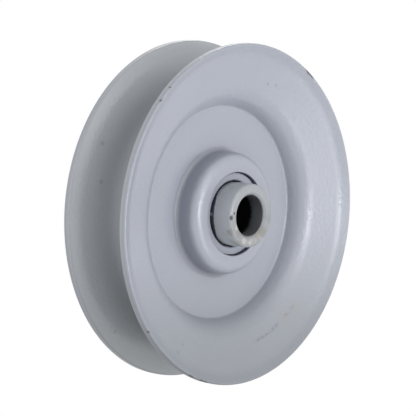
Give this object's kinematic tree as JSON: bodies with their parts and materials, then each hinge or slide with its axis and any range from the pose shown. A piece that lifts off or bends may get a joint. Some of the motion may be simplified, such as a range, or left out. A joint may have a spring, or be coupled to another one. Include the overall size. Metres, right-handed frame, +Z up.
{
  "type": "idler pulley",
  "caption": "Painted pressed-steel V-belt idler pulley on a sealed ball bearing; its long inner ring is clamped on a bolt and the grooved rim turns freely.",
  "frame": {"origin": "the pulley's centre, where its axis crosses the plane in which the two halves meet", "axes": "+Y along the axis, away from the viewer's side; +Z up in the picture; +X to the right of a viewer who looks along the axis"},
  "size_m": [0.1, 0.03, 0.1],
  "materials": {
    "grey_paint": "semi-gloss paint",
    "bearing_steel": "ground",
    "cage_steel": "pressed",
    "seal_rubber": "painted over"
  },
  "bodies": {
    "hub": {"hub": "grey_paint"},
    "pulley": {"front_half": "grey_paint", "rear_half": "grey_paint", "outer_ring": "bearing_steel", "front_seal": "seal_rubber", "rear_seal": "seal_rubber"},
    "cage": {"cage_front": "cage_steel", "cage_rear": "cage_steel", "cage_rivets": "cage_steel", "ball_1": "bearing_steel", "ball_2": "bearing_steel", "ball_3": "bearing_steel", "ball_4": "bearing_steel", "ball_5": "bearing_steel", "ball_6": "bearing_steel", "ball_7": "bearing_steel"}
  },
  "joints": [
    {"name": "pulley_spin", "type": "hinge", "parent": "hub", "child": "pulley", "pos_m": [0, 0, 0], "axis": [0, 1, 0], "continuous": true},
    {"name": "cage_spin", "type": "hinge", "parent": "hub", "child": "cage", "pos_m": [0, 0, 0], "axis": [0, 1, 0], "continuous": true}
  ],
  "couplings": [
    {"joint": "cage_spin", "follows": "pulley_spin", "ratio": 0.6352}
  ]
}
